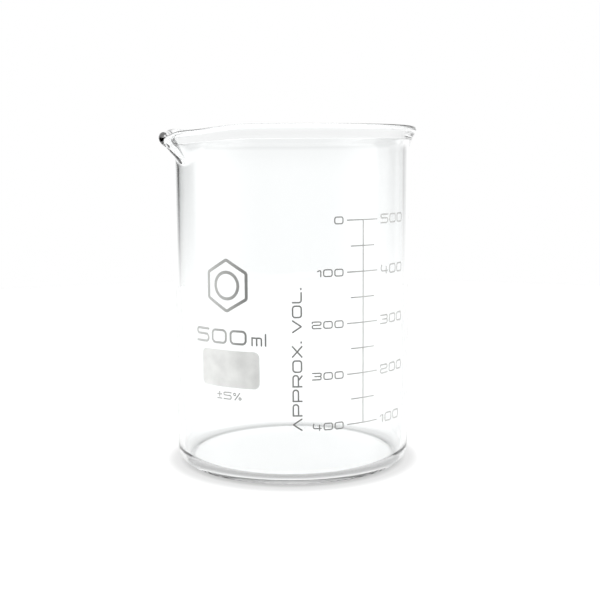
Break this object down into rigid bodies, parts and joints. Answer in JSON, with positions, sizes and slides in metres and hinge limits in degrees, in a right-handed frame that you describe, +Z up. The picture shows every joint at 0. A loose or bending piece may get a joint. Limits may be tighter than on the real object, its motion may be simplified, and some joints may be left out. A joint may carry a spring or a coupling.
{
  "type": "low-form beaker",
  "caption": "Low-form glass beaker with a flared beaded rim, a pouring spout, a rounded heel and a flat underside, printed with a white enamel volume scale.",
  "frame": {"origin": "centre of the flat underside, on the axis of the straight wall", "axes": "+Z up along the wall's axis, -X towards the spout, +Y completes the right-handed frame"},
  "size_m": [0.0982, 0.093, 0.125],
  "materials": {
    "borosilicate_glass": "clear, fire-polished",
    "white_enamel": "fired, satin"
  },
  "bodies": {
    "root": {"glass_body": "borosilicate_glass", "scale_spine": "white_enamel", "major_graduation_100": "white_enamel", "minor_graduation_150": "white_enamel", "major_graduation_200": "white_enamel", "minor_graduation_250": "white_enamel", "major_graduation_300": "white_enamel", "minor_graduation_350": "white_enamel", "major_graduation_400": "white_enamel", "minor_graduation_450": "white_enamel", "major_graduation_500": "white_enamel", "falling_numeral_400": "white_enamel", "rising_numeral_100": "white_enamel", "falling_numeral_300": "white_enamel", "rising_numeral_200": "white_enamel", "falling_numeral_200": "white_enamel", "rising_numeral_300": "white_enamel", "falling_numeral_100": "white_enamel", "rising_numeral_400": "white_enamel", "falling_numeral_0": "white_enamel", "rising_numeral_500": "white_enamel", "approx_volume_legend": "white_enamel", "capacity_mark": "white_enamel", "marking_spot": "white_enamel", "tolerance_mark": "white_enamel", "hexagon_mark": "white_enamel"}
  },
  "joints": []
}
